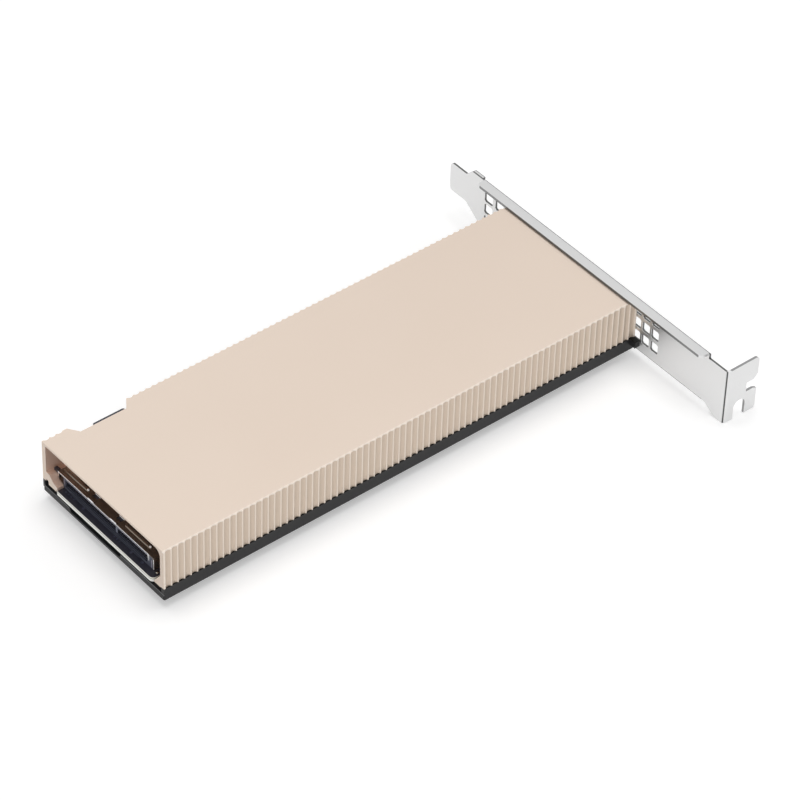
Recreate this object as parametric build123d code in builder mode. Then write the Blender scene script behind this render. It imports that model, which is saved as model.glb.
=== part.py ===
"""Network adapter card for an expansion slot, half length and low profile, on a full height bracket.

The card lies on its back plate with its component side up. The origin is the middle of the back
plate's underside. +X runs from the bracket to the tail connector, +Y from the slot contacts to the
card's far long edge, and +Z out of the component side. All sizes are in millimetres.
"""

import os
from math import asin, cos, pi, sin

from build123d import *

os.makedirs("parts", exist_ok=True)

# Card, as the slot standard sets it
card_length = 167.65
card_height = 63.90
solder_gap = 2.58
board_thickness = 1.57

# Ribbed cover
cover_height = 13.61
cover_side_wall = 2.0
cover_roof = 1.5
cover_bracket_gap = 0.3
flute_pitch = 2.1625
flute_depth = 0.5
rib_crest = 0.16
flute_chords = 5
first_flute = 1.7775
skirt_width = 6.6
skirt_knee = 4.6
skirt_shelf = 3.1
skirt_height = 3.45
far_skirt_width = 4.2
mouth_length = 16.0
mouth_wall = 1.6
mouth_roof = 0.7
lip_step_length = 3.1
lip_step_depth = 0.5
notch_to_tail = 8.35
notch_length = 20.0
notch_depth = 3.3
notch_run = 2.3
notch_wall = 1.6
foot_start = 2.6
foot_drop = 0.6
foot_channel = 0.75

# Back plate
base_floor = 1.3
base_wall = 1.3
base_near_wall = 0.8
base_rim_height = 2.0
base_rim_width = 1.2
rim_cut_start = 12.0
rim_cut_length = 23.5
rim_cut_floor = 0.8
lug_reach = 2.3
lug_length = 1.9
lug_height = 2.1

# Circuit board
board_far_margin = 2.5
tongue_start = 45.0
tongue_length = 84.3
tongue_depth = 8.25
key_centre = 57.15
key_width = 1.9
key_depth = 7.65
hook_gap = 4.1
hook_width = 10.8
hook_drop = 6.25
tail_board_near = 6.25
tail_board_far = 5.2
tail_step_length = 17.6
board_setback = 0.6
board_hole_clearance = 0.15

# Slot contacts
contact_pitch = 1.0
contact_width = 0.7
contact_length = 5.2
contact_thickness = 0.05
contacts_before_key = 11
contacts_after_key = 71

# Bracket
sheet = 0.86
bend_radius = 1.5
bracket_height = 120.02
bracket_width = 18.4
bracket_bottom = -0.1
tab_reach = 27.84
tab_width = 10.0
tab_bottom = 5.0
lip_width = 3.2
lip_near_margin = 15.44
lip_far_margin = 7.88
flange_reach = 12.1
flange_top = 15.98
flange_bottom = -3.05
screw_slot_width = 4.42
ear_width = 8.0
ear_length = 8.5
ear_hole = 5.0
vent_width = 3.1
vent_height = 3.5
vent_corner = 0.4

# Port cages
cage_width = 19.4
cage_height = 9.8
cage_depth = 45.2
cage_wall = 0.3
cage_gap = 2.0
cage_nose = 1.2
cage_clearance = 0.45
cage_side_room = 7.0
connector_bay = 13.0
connector_width = 16.6
connector_height = 7.05
gasket_sheet = 0.3
light_guide_width = 1.4
light_guide_sheet = 0.5
light_levels = [15.15, 15.9]
light_places = [7.8, 9.6]
status_light_height = 0.6

# Tail connector
shell_width = 43.5
shell_near = 3.9
shell_top = 4.25
shell_sheet = 0.3
shell_setback = 2.3
shell_depth = 9.6
cavity_depth = 6.0
cavity_height = 2.7
tail_contact_pitch = 0.8

# Chip and heat sink
chip_side = 35.0
chip_height = 1.2
lid_side = 31.0
lid_height = 1.6
pad_height = 0.25
sink_length = 64.0
sink_width = 39.6
sink_floor = 2.0
fin_thickness = 1.0
fin_pitch = 3.2
fin_clearance = 0.25

# Power supply of the chip, in phases side by side
phase_count = 4
phase_pitch = 8.6
inductor_side = 6.8
inductor_height = 3.0
can_radius = 2.9
can_height = 5.4

# Screws, whose round parts are cut in flats like their holes
round_sides = 16
screw_radius = 1.25
screw_head_radius = 2.4
screw_play = 0.06
post_radius = 2.4
sink_screw_head = 0.7
screw_length = 9.0
driver_radius = 0.75
driver_depth = 0.9

# Places that follow from the sizes above
cover_width = 2 * cage_width + cage_gap + 2 * cage_side_room
bracket_face = -card_length / 2
tail = card_length / 2
near = -cover_width / 2
far = cover_width / 2
board_bottom = solder_gap
board_top = solder_gap + board_thickness
cover_top = board_top + cover_height
cover_start = bracket_face + cover_bracket_gap
board_far = far - board_far_margin
contact_edge = board_far - card_height
shoulder = contact_edge + tongue_depth
bracket_outside = bracket_face - sheet
bracket_top = bracket_bottom + bracket_width
bracket_tab_end = near - tab_reach
flange_face = bracket_tab_end + bracket_height
chip_centre = (bracket_face + 0.57 * card_length, near + 26.6)
cover_screws = [
    (bracket_face + 14, near + 3.4),
    (tail - 30.65, near + 3.4),
    (bracket_face + 14, far - 4.5),
    (tail - 21.65, far - 4.5),
]
sink_screws = [
    (chip_centre[0] + sx * (sink_length / 2 - 3.0), chip_centre[1] + sy * (sink_width / 2 - 3.0))
    for sx in (-1, 1)
    for sy in (-1, 1)
]

# Countersunk heads lean in at 45 degrees, so a head is as deep as its flats move inwards
head_depth = (screw_head_radius - screw_radius) * cos(pi / round_sides)
ear_head_radius = screw_radius + sheet / cos(pi / round_sides)

# Flutes: hollow arcs side by side, with a narrow flat crest between each two
flute_count = int((card_length - first_flute - flute_pitch / 2) / flute_pitch) + 1
flutes = [bracket_face + first_flute + flute_pitch * i for i in range(flute_count)]
notch_start = tail - notch_to_tail - notch_length
notch_end = tail - notch_to_tail


def fluted_edge(edge, outward, centres):
    """Draw a long edge with a hollow flute, cut in short chords, at each centre; return both ends."""
    half_mouth = (flute_pitch - rib_crest) / 2
    radius = (half_mouth**2 + flute_depth**2) / (2 * flute_depth)
    half_angle = asin(half_mouth / radius)
    steps = [half_angle * (2 * i / flute_chords - 1) for i in range(flute_chords + 1)]
    Polyline(
        *[
            (x + radius * sin(step), edge - outward * (flute_depth - radius * (1 - cos(step))))
            for x in centres
            for step in steps
        ]
    )
    return centres[0] - half_mouth, centres[-1] + half_mouth


# Cover: one machined piece, with ribs round both long sides and an open bore from end to end
with BuildPart() as cover:
    with BuildSketch(Plane.XY.offset(board_top)):
        with BuildLine():
            Polyline(
                (cover_start, far),
                (tail, far),
                (tail, near),
                (notch_end, near),
                (notch_end - notch_run, near + notch_depth),
                (notch_start + notch_run, near + notch_depth),
                (notch_start, near),
                (cover_start, near),
                close=True,
            )
        make_face()
    extrude(amount=cover_height)
    # Bore, whose skirts spread to wide feet on the board
    with BuildSketch(Plane.YZ.offset(cover_start)):
        with BuildLine():
            FilletPolyline(
                (near + skirt_width, board_top),
                (near + skirt_width, board_top + 1.0),
                (near + skirt_knee, board_top + 1.8),
                (near + skirt_shelf, board_top + skirt_height),
                (near + cover_side_wall, board_top + skirt_height),
                (near + cover_side_wall, cover_top - cover_roof),
                (far - cover_side_wall, cover_top - cover_roof),
                (far - cover_side_wall, board_top + skirt_height),
                (far - far_skirt_width, board_top + 0.4),
                (far - far_skirt_width, board_top),
                radius=[0, 0, 1.2, 0.9, 0.3, 1.0, 1.8, 1.0, 0.4, 0],
                close=True,
            )
        make_face()
    extrude(amount=tail - cover_start, mode=Mode.SUBTRACT)
    # Mouth at the tail, wider and higher than the bore
    with BuildSketch(Plane.YZ.offset(tail - mouth_length)):
        with BuildLine():
            FilletPolyline(
                (near + mouth_wall, board_top + skirt_height),
                (near + mouth_wall, cover_top - mouth_roof),
                (far - mouth_wall, cover_top - mouth_roof),
                (far - mouth_wall, board_top + skirt_height),
                radius=[0.4, 0.6, 2.2, 0],
                close=True,
            )
        make_face()
    extrude(amount=mouth_length, mode=Mode.SUBTRACT)
    # Wall that runs round the notch on the inside
    with BuildSketch(Plane.XY.offset(board_top)):
        with BuildLine():
            Polyline(
                (notch_start, near),
                (notch_start + notch_run, near + notch_depth),
                (notch_end - notch_run, near + notch_depth),
                (notch_end, near),
                (notch_end + notch_wall, near + 0.6),
                (notch_end - notch_run + 0.9, near + notch_depth + notch_wall),
                (notch_start + notch_run - 0.9, near + notch_depth + notch_wall),
                (notch_start - notch_wall, near + 0.6),
                close=True,
            )
        make_face()
    extrude(amount=cover_height)
    # Pocket behind the skirt's front wall, which clears the tail connector
    pocket_front = tail - shell_setback + 0.15
    with BuildSketch(Plane.XY.offset(board_top)):
        with Locations((pocket_front, near + shell_near - 0.15)):
            Rectangle(shell_depth + 1.3, shell_width + 1.05, align=(Align.MAX, Align.MIN))
    extrude(amount=shell_top + 0.8, mode=Mode.SUBTRACT)
    # Step under the bracket's lip
    with BuildSketch(Plane.XZ.offset(-far)):
        with BuildLine():
            Polyline(
                (cover_start, cover_top),
                (cover_start, cover_top - lip_step_depth),
                (cover_start + lip_step_length, cover_top - lip_step_depth),
                (cover_start + lip_step_length + lip_step_depth, cover_top),
                close=True,
            )
        make_face()
    extrude(amount=cover_width, mode=Mode.SUBTRACT)
    # Feet that drop beside the narrow tail of the board, and a channel along the near one
    foot_length = tail_step_length - 1.0
    with BuildSketch(Plane.XY.offset(board_top - foot_drop)):
        with Locations((tail - foot_length / 2, near + (foot_start + tail_board_near - 0.15) / 2)):
            Rectangle(foot_length, tail_board_near - foot_start - 0.15)
    extrude(amount=foot_drop)
    with BuildSketch(Plane.YZ.offset(tail - foot_length)):
        with BuildLine():
            Polyline(
                (near + foot_start, board_top),
                (near + foot_start - 0.05, board_top + 0.45),
                (near + foot_start - 0.4, board_top + foot_channel),
                (near + foot_start - 0.9, board_top + foot_channel),
                (near + foot_start - 1.25, board_top + 0.45),
                (near + foot_start - 1.3, board_top),
                close=True,
            )
        make_face()
    extrude(amount=foot_length, mode=Mode.SUBTRACT)
    with BuildSketch(Plane.XY.offset(board_top - foot_drop / 2)):
        with Locations((tail - foot_length / 4, far - (tail_board_far - 0.7 + base_wall + 0.2) / 2)):
            Rectangle(foot_length / 2, tail_board_far - 0.7 - base_wall - 0.2)
    extrude(amount=foot_drop / 2)
    # Posts for the screws that come up through the back plate
    with BuildSketch(Plane.XY.offset(board_top)):
        with Locations(*cover_screws):
            Rectangle(2 * post_radius, 2 * post_radius)
    extrude(amount=cover_height - cover_roof)
    with BuildSketch(Plane.XY.offset(board_top)):
        with Locations(*cover_screws):
            RegularPolygon(screw_radius, round_sides)
    extrude(amount=cover_height - cover_roof - 4.0, mode=Mode.SUBTRACT)
    # Ribs along both long sides, from below the feet to the roof
    with BuildSketch(Plane.XY.offset(board_bottom)):
        with BuildLine():
            far_start, far_end = fluted_edge(far, 1, flutes)
            body_flutes = [x for x in flutes if x < notch_start - flute_pitch / 2]
            tab_flutes = [x for x in flutes if x > notch_end + flute_pitch]
            near_start, near_end = fluted_edge(near, -1, body_flutes)
            tab_start, tab_end = fluted_edge(near, -1, tab_flutes)
            Line((near_end, near), (tab_start, near))
            Polyline((far_end, far), (tail, far), (tail, near), (tab_end, near))
            Polyline((near_start, near), (cover_start, near), (cover_start, far), (far_start, far))
        make_face()
    extrude(amount=board_thickness + cover_height, mode=Mode.INTERSECT)
cover.part.label = "cover"
export_step(cover.part, "parts/cover.step")


# Back plate: a shallow tray under the board, with bosses for the screws and pockets for the ears
ear_places = [near + 12.0, far - 12.0]
with BuildPart() as base_plate:
    with BuildSketch():
        with Locations(((cover_start + tail) / 2, 0)):
            RectangleRounded(tail - cover_start, cover_width, 0.5)
    extrude(amount=base_floor)
    # Walls: low under the board, and as high as the board's top where the board is narrower
    with BuildSketch(Plane.XY.offset(base_floor)):
        with Locations(((cover_start + tail) / 2, far - base_wall / 2)):
            Rectangle(tail - cover_start, base_wall)
    extrude(amount=board_top - base_floor)
    with BuildSketch(Plane.XY.offset(base_floor)):
        with Locations(((cover_start + tail) / 2, near + base_near_wall / 2)):
            Rectangle(tail - cover_start, base_near_wall)
        with Locations((cover_start + base_near_wall / 2, 0)):
            Rectangle(base_near_wall, cover_width)
    extrude(amount=board_bottom - base_floor)
    with BuildSketch(Plane.XY.offset(board_bottom)):
        with Locations((tail - (tail_step_length - 0.6) / 2, near + base_near_wall / 2)):
            Rectangle(tail_step_length - 0.6, base_near_wall)
    extrude(amount=board_thickness)
    # Rim at the tail, cut lower in its middle
    with BuildSketch(Plane.YZ.offset(tail - base_rim_width)):
        with BuildLine():
            Polyline(
                (near, base_floor),
                (near, base_rim_height),
                (near + rim_cut_start, base_rim_height),
                (near + rim_cut_start + 0.6, base_floor),
                close=True,
            )
        make_face()
        with BuildLine():
            Polyline(
                (far, base_floor),
                (far, base_rim_height),
                (near + rim_cut_start + rim_cut_length, base_rim_height),
                (near + rim_cut_start + rim_cut_length - 0.6, base_floor),
                close=True,
            )
        make_face()
    extrude(amount=base_rim_width)
    with BuildSketch(Plane.YZ.offset(tail - base_rim_width)):
        with Locations((near + rim_cut_start + rim_cut_length / 2, base_floor)):
            Rectangle(rim_cut_length - 1.2, 2 * (base_floor - rim_cut_floor))
    extrude(amount=base_rim_width, mode=Mode.SUBTRACT)
    # Square pads under the board, over the cover screws and over the bracket's ears
    with BuildSketch(Plane.XY.offset(base_floor)):
        with Locations(*cover_screws):
            Rectangle(2 * post_radius, 2 * post_radius)
        with Locations(*[(bracket_face + ear_hole, y) for y in ear_places]):
            Rectangle(2 * post_radius, 2 * post_radius)
    extrude(amount=board_bottom - base_floor)
    # Pockets that take the bracket's two ears
    with BuildSketch():
        with Locations(*[(cover_start + (ear_length + 0.4) / 2, y) for y in ear_places]):
            Rectangle(ear_length + 0.4, ear_width + 0.6)
    extrude(amount=bracket_bottom + sheet + 0.04, mode=Mode.SUBTRACT)
    # Countersunk holes for the cover screws and plain ones for the ear screws
    with BuildSketch():
        with Locations(*cover_screws):
            RegularPolygon(screw_head_radius, round_sides)
    extrude(amount=head_depth, taper=45, mode=Mode.SUBTRACT)
    with BuildSketch():
        with Locations(*cover_screws, *[(bracket_face + ear_hole, y) for y in ear_places]):
            RegularPolygon(screw_radius, round_sides)
    extrude(amount=board_bottom, mode=Mode.SUBTRACT)
    # Lug beside the bracket
    with BuildSketch(Plane.YZ.offset(cover_start)):
        with Locations((far + lug_reach / 2 - 0.5, board_top - lug_height / 2)):
            Rectangle(lug_reach + 1.0, lug_height)
    extrude(amount=lug_length)
base_plate.part.label = "base_plate"
export_step(base_plate.part, "parts/base_plate.step")

# Circuit board: one laminate whose near edge carries the slot tongue and the retention hook
tongue_left = bracket_face + tongue_start
tongue_right = tongue_left + tongue_length
hook_left = tongue_right + hook_gap
hook_right = hook_left + hook_width
key_x = bracket_face + key_centre
with BuildPart() as circuit_board:
    with BuildSketch(Plane.XY.offset(board_bottom)):
        with BuildLine():
            FilletPolyline(
                (bracket_face + board_setback, shoulder),
                (tongue_left, shoulder),
                (tongue_left, contact_edge + 1.3),
                (tongue_left + 1.3, contact_edge),
                (tongue_right - 1.3, contact_edge),
                (tongue_right, contact_edge + 1.3),
                (tongue_right, shoulder + 1.6),
                (hook_left, shoulder + 1.6),
                (hook_left, shoulder - hook_drop),
                (hook_right, shoulder - hook_drop),
                (hook_right, near - 1.0),
                (hook_right + 3.3, near + 2.3),
                (tail - tail_step_length, near + tail_board_near),
                (tail, near + tail_board_near),
                (tail, far - tail_board_far),
                (tail - tail_step_length, far - tail_board_far),
                (tail - tail_step_length - 1.0, board_far),
                (bracket_face + board_setback, board_far),
                radius=[0, 0.5, 0, 0, 0, 0, 0.8, 0.8, 0.6, 0.6, 0.8, 0, 0, 0.3, 1.4, 0, 0, 0],
                close=True,
            )
        make_face()
        with Locations((key_x, contact_edge + key_depth / 2 - key_width / 4)):
            Rectangle(key_width, key_depth - key_width / 2, mode=Mode.SUBTRACT)
        with Locations((key_x, contact_edge + key_depth - key_width / 2)):
            Circle(key_width / 2, mode=Mode.SUBTRACT)
        with Locations(*cover_screws, *sink_screws):
            RegularPolygon(screw_radius + board_hole_clearance, round_sides, mode=Mode.SUBTRACT)
    extrude(amount=board_thickness)
    # Bevel that leads the tongue into the slot
    tongue_tip = circuit_board.faces().filter_by(Axis.Y).sort_by(Axis.Y)[:2]
    chamfer(tongue_tip.edges().filter_by(Axis.X), 0.45)
circuit_board.part.label = "circuit_board"
export_step(circuit_board.part, "parts/circuit_board.step")

# Slot contacts: a row of gold plated pads on each face of the tongue, on both sides of the key
before_key = [key_x - 1.5 - contact_pitch * i for i in range(contacts_before_key)]
after_key = [key_x + 1.5 + contact_pitch * i for i in range(contacts_after_key)]
contact_y = contact_edge + 1.1 + contact_length / 2
for name, level in (
    ("slot_contacts_component_side", board_top),
    ("slot_contacts_solder_side", board_bottom - contact_thickness),
):
    with BuildPart() as contacts:
        with BuildSketch(Plane.XY.offset(level)):
            with Locations(*[(x, contact_y) for x in before_key + after_key]):
                Rectangle(contact_width, contact_length)
        extrude(amount=contact_thickness)
    contacts.part.label = name
    export_step(contacts.part, f"parts/{name}.step")

# Bracket: one folded sheet, with a tab, a vented plate, a lip, two ears and a screw flange
port_centres = [
    near + cage_side_room + cage_width / 2,
    near + cage_side_room + 1.5 * cage_width + cage_gap,
]
port_middle = board_top + cage_height / 2
light_y = near + cage_side_room + cage_width + cage_gap / 2
lip_start = bracket_tab_end + lip_near_margin
lip_end = flange_face - lip_far_margin


def vent_outline(width):
    """Corners of one stamped vent, with its four corners cut."""
    half, rise, cut = width / 2, vent_height / 2, vent_corner
    return [
        (half, cut - rise), (half, rise - cut), (half - cut, rise), (cut - half, rise),
        (-half, rise - cut), (-half, cut - rise), (cut - half, -rise), (half - cut, -rise),
    ]


with BuildPart() as bracket:
    with BuildSketch(Plane.YZ.offset(bracket_outside)):
        with BuildLine():
            FilletPolyline(
                (bracket_tab_end, tab_bottom),
                (bracket_tab_end, tab_bottom + tab_width),
                (lip_start - 8.4, tab_bottom + tab_width),
                (lip_start - 5.0, bracket_top),
                (lip_start - 0.9, bracket_top),
                (lip_start - 0.9, bracket_top - 2.2),
                (lip_start, bracket_top - 2.2),
                (lip_start, bracket_top - bend_radius),
                (lip_end, bracket_top - bend_radius),
                (lip_end, flange_top),
                (flange_face - bend_radius, flange_top),
                (flange_face - bend_radius, flange_bottom),
                (lip_end + 4.1, flange_bottom),
                (lip_end - 0.2, bracket_bottom),
                (lip_start - 1.2, bracket_bottom),
                (lip_start - 8.2, tab_bottom),
                radius=[1.3, 1.3, 0.8, 0.8, 0.2, 0.2, 0.2, 0, 0, 0, 0, 0, 2.2, 3.0, 3.0, 2.0],
                close=True,
            )
        make_face()
        # Openings for the port cages and the two light guides
        with Locations(*[(y, port_middle) for y in port_centres]):
            Rectangle(
                cage_width + 2 * cage_clearance, cage_height + 2 * cage_clearance, mode=Mode.SUBTRACT
            )
        with Locations(*[(light_y, z) for z in light_levels]):
            Rectangle(light_guide_width + 0.2, light_guide_sheet + 0.1, mode=Mode.SUBTRACT)
        # Vents on the far side of the ports, and fewer and wider ones on the near side
        with Locations((far + 2.1, 9.6)):
            with GridLocations(vent_width + 0.63, vent_height + 1.15, 4, 3):
                Polygon(*vent_outline(vent_width), mode=Mode.SUBTRACT)
        with Locations((near - 5.6, 7.8)):
            with GridLocations(vent_width + 1.7, vent_height + 0.8, 3, 3):
                Polygon(*vent_outline(vent_width + 0.5), mode=Mode.SUBTRACT)
    extrude(amount=sheet)
    # Lip, folded over the cover from the plate's top
    with BuildSketch(Plane.XZ.offset(-lip_end)):
        with BuildLine():
            FilletPolyline(
                (bracket_outside, bracket_top - 2.0),
                (bracket_outside, bracket_top),
                (bracket_face + lip_width, bracket_top),
                (bracket_face + lip_width, bracket_top - sheet),
                (bracket_face, bracket_top - sheet),
                (bracket_face, bracket_top - 2.0),
                radius=[0, bend_radius, 0, 0, bend_radius - sheet, 0],
                close=True,
            )
        make_face()
    extrude(amount=lip_end - lip_start)
    lip_corners = bracket.edges().filter_by(Axis.Z).filter_by_position(
        Axis.X, bracket_face + lip_width - 0.01, bracket_face + lip_width + 0.01
    )
    fillet(lip_corners, 1.5)
    # Screw flange, folded back from the plate's far end
    with BuildSketch(Plane.XY.offset(flange_bottom)):
        with BuildLine():
            FilletPolyline(
                (bracket_face, flange_face - 2.0),
                (bracket_face, flange_face),
                (bracket_face - flange_reach, flange_face),
                (bracket_face - flange_reach, flange_face - sheet),
                (bracket_outside, flange_face - sheet),
                (bracket_outside, flange_face - 2.0),
                radius=[0, bend_radius, 0, 0, bend_radius - sheet, 0],
                close=True,
            )
        make_face()
    extrude(amount=flange_top - flange_bottom)
    flange_corners = bracket.edges().filter_by(Axis.Y).filter_by_position(
        Axis.X, bracket_face - flange_reach - 0.01, bracket_face - flange_reach + 0.01
    )
    fillet(flange_corners, 1.2)
    # Screw slot, open downwards, and the guide slot, open and flared at the flange's outer edge
    with BuildSketch(Plane.XZ.offset(-flange_face)):
        with Locations((bracket_face - 5.8, flange_bottom + 1.5)):
            Rectangle(screw_slot_width, 5.0)
        with Locations((bracket_face - 5.8, flange_bottom + 4.0)):
            Circle(screw_slot_width / 2)
        with BuildLine():
            Polyline(
                (bracket_face - flange_reach - 0.1, 4.2),
                (bracket_face - flange_reach - 0.1, 9.9),
                (bracket_face - flange_reach + 1.4, 8.3),
                (bracket_face - flange_reach + 4.1, 8.3),
                (bracket_face - flange_reach + 4.1, 4.9),
                (bracket_face - flange_reach + 1.4, 4.9),
                close=True,
            )
        make_face()
    extrude(amount=sheet + bend_radius, mode=Mode.SUBTRACT)
    # Ears, folded from the plate's lower edge under the back plate
    for ear_y in ear_places:
        with BuildSketch(Plane.XZ.offset(-ear_y - ear_width / 2)):
            with BuildLine():
                FilletPolyline(
                    (bracket_outside, bracket_bottom + 1.6),
                    (bracket_outside, bracket_bottom),
                    (bracket_face + ear_length, bracket_bottom),
                    (bracket_face + ear_length, bracket_bottom + sheet),
                    (bracket_face, bracket_bottom + sheet),
                    (bracket_face, bracket_bottom + 1.6),
                    radius=[0, 1.0, 0, 0, 0.14, 0],
                    close=True,
                )
            make_face()
        extrude(amount=ear_width)
    with BuildSketch(Plane.XY.offset(bracket_bottom)):
        with Locations(*[(bracket_face + ear_hole, y) for y in ear_places]):
            RegularPolygon(ear_head_radius, round_sides)
    extrude(amount=sheet, taper=45, mode=Mode.SUBTRACT)
bracket.part.label = "bracket"
export_step(bracket.part, "parts/bracket.step")

# Network port cages: thin folded boxes through the bracket, each with a gasket ring and an inner connector
cage_near_edges = [near + cage_side_room, near + cage_side_room + cage_width + cage_gap]
cage_front = bracket_outside - cage_nose
cage_back = cage_front + cage_depth
for number, cage_y in enumerate(cage_near_edges, start=1):
    cage_y_middle = cage_y + cage_width / 2
    with BuildPart() as port_cage:
        with Locations(((cage_front + cage_back) / 2, cage_y_middle, board_top)):
            Box(cage_depth, cage_width, cage_height, align=(Align.CENTER, Align.CENTER, Align.MIN))
        # Hollow, open at the mouth
        with Locations((cage_front, cage_y_middle, board_top + cage_wall)):
            Box(
                cage_depth - cage_wall,
                cage_width - 2 * cage_wall,
                cage_height - 2 * cage_wall,
                align=(Align.MIN, Align.CENTER, Align.MIN),
                mode=Mode.SUBTRACT,
            )
        # Opening in the floor for the inner connector
        with Locations((cage_back - connector_bay, cage_y_middle, board_top)):
            Box(
                connector_bay,
                cage_width - 2.4,
                cage_wall,
                align=(Align.MIN, Align.CENTER, Align.MIN),
                mode=Mode.SUBTRACT,
            )
        # Vent slots in the roof, clear of the bracket
        with BuildSketch(Plane.XY.offset(board_top + cage_height - cage_wall)):
            with Locations(((bracket_face + cage_back) / 2 + 2.0, cage_y_middle)):
                with GridLocations(cage_depth / 9, 0.43 * cage_width, 6, 2):
                    Rectangle(cage_depth / 25, 0.31 * cage_width)
        extrude(amount=cage_wall, mode=Mode.SUBTRACT)
        # Latch window near the mouth in the floor
        with Locations((cage_front + cage_depth / 7, cage_y_middle, board_top)):
            Box(
                2.6, 3.0, cage_wall, align=(Align.MIN, Align.CENTER, Align.MIN), mode=Mode.SUBTRACT
            )
    port_cage.part.label = f"port_cage_{number}"
    export_step(port_cage.part, f"parts/port_cage_{number}.step")

    # Spring gasket that closes the gap between cage and bracket, in front of the plate and through it
    with BuildPart() as port_gasket:
        with BuildSketch(Plane.YZ.offset(bracket_outside - 0.35)):
            with Locations((cage_y_middle, port_middle)):
                Rectangle(cage_width + 1.8, cage_height + 1.2)
                Rectangle(cage_width, cage_height, mode=Mode.SUBTRACT)
        extrude(amount=0.35)
        with BuildSketch(Plane.YZ.offset(bracket_outside - 0.35)):
            with Locations((cage_y_middle, port_middle)):
                Rectangle(cage_width + 2 * gasket_sheet, cage_height + 2 * gasket_sheet)
                Rectangle(cage_width, cage_height, mode=Mode.SUBTRACT)
        extrude(amount=sheet + 0.6)
        # Cuts that part the ring into fingers
        with BuildSketch(Plane.XY.offset(board_top - 1.5)):
            with Locations((bracket_outside - 0.35, cage_y_middle)):
                with GridLocations(1.0, cage_width / 7.5, 1, 8):
                    Rectangle(0.7, 0.3)
        extrude(amount=cage_height + 3.0, mode=Mode.SUBTRACT)
    port_gasket.part.label = f"port_gasket_{number}"
    export_step(port_gasket.part, f"parts/port_gasket_{number}.step")

    # Connector block at the cage's inner end, with the slot that takes the plug's card edge
    with BuildPart() as port_connector:
        with Locations((cage_back - connector_bay + 0.4, cage_y_middle, board_top)):
            Box(
                connector_bay - 1.0,
                connector_width,
                connector_height,
                align=(Align.MIN, Align.CENTER, Align.MIN),
            )
        with Locations((cage_back - connector_bay + 0.4, cage_y_middle, board_top + 4.2)):
            Box(8.0, connector_width - 2.2, 1.3, align=(Align.MIN, Align.CENTER, Align.CENTER), mode=Mode.SUBTRACT)
        with Locations((cage_back - 0.6, cage_y_middle, board_top + connector_height)):
            Box(5.0, connector_width, 3.2, align=(Align.MAX, Align.CENTER, Align.MAX), mode=Mode.SUBTRACT)
    port_connector.part.label = f"port_connector_{number}"
    export_step(port_connector.part, f"parts/port_connector_{number}.step")

# Light guides: two clear strips, one inside the other, bent down between the cages
for number, (level, place) in enumerate(zip(light_levels, light_places), start=1):
    light_x = bracket_face + place
    with BuildPart() as light_guide:
        with BuildSketch(Plane.XZ.offset(-light_y - light_guide_width / 2)):
            with BuildLine():
                FilletPolyline(
                    (bracket_outside - 0.3, level - light_guide_sheet / 2),
                    (light_x - light_guide_sheet / 2, level - light_guide_sheet / 2),
                    (light_x - light_guide_sheet / 2, board_top + status_light_height),
                    (light_x + light_guide_sheet / 2, board_top + status_light_height),
                    (light_x + light_guide_sheet / 2, level + light_guide_sheet / 2),
                    (bracket_outside - 0.3, level + light_guide_sheet / 2),
                    radius=[0, 0.6, 0, 0, 1.1, 0],
                    close=True,
                )
            make_face()
        extrude(amount=light_guide_width)
    light_guide.part.label = f"light_guide_{number}"
    export_step(light_guide.part, f"parts/light_guide_{number}.step")
with BuildPart() as status_lights:
    with Locations(*[(bracket_face + x, light_y, board_top) for x in light_places]):
        Box(1.6, 0.8, status_light_height, align=(Align.CENTER, Align.CENTER, Align.MIN))
status_lights.part.label = "status_lights"
export_step(status_lights.part, "parts/status_lights.step")

# Tail connector: a folded steel shell round a dark housing with two rows of contacts
shell_front = tail - shell_setback
shell_back = shell_front - shell_depth
shell_left = near + shell_near
shell_right = shell_left + shell_width
shell_top_level = board_top + shell_top
with BuildPart() as tail_shell:
    with BuildSketch(Plane.XY.offset(shell_top_level - shell_sheet)):
        with Locations(((shell_front + shell_back) / 2, (shell_left + shell_right) / 2)):
            Rectangle(shell_depth, shell_width)
        # Latch windows
        with Locations((shell_front - 2.1, near + 18.65), (shell_front - 2.1, near + 29.5)):
            Rectangle(1.1, 2.1, mode=Mode.SUBTRACT)
    extrude(amount=shell_sheet)
    # Rear and end walls down to the board, the near inner wall, and the two short tabs
    for x, y, length, width, drop in (
        (shell_back, shell_left, shell_sheet, shell_width, shell_top),
        (shell_back, shell_right - 0.6, shell_depth, 0.6, shell_top),
        (shell_back, near + 6.0, shell_depth - 0.6, 0.4, shell_top),
        (shell_front - 3.0, shell_left, 3.0, 0.4, 2.2),
        (shell_front - 1.0, near + 44.4, 1.0, 0.4, 2.4),
    ):
        with Locations((x, y, shell_top_level - drop)):
            Box(length, width, drop, align=Align.MIN)
    # Two long pressed ribs and the two small stops on the front edge
    for rib_y in (near + 9.9, near + 37.9):
        with Locations((shell_front - 2.1, rib_y, shell_top_level)):
            Box(0.9, 10.0, 0.25, align=(Align.CENTER, Align.CENTER, Align.MIN))
    for stop_y in (near + 18.9, near + 29.1):
        with Locations((shell_front, stop_y, shell_top_level)):
            Box(0.6, 2.6, 0.3, align=(Align.MAX, Align.CENTER, Align.MIN))
tail_shell.part.label = "tail_shell"
export_step(tail_shell.part, "parts/tail_shell.step")

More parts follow.
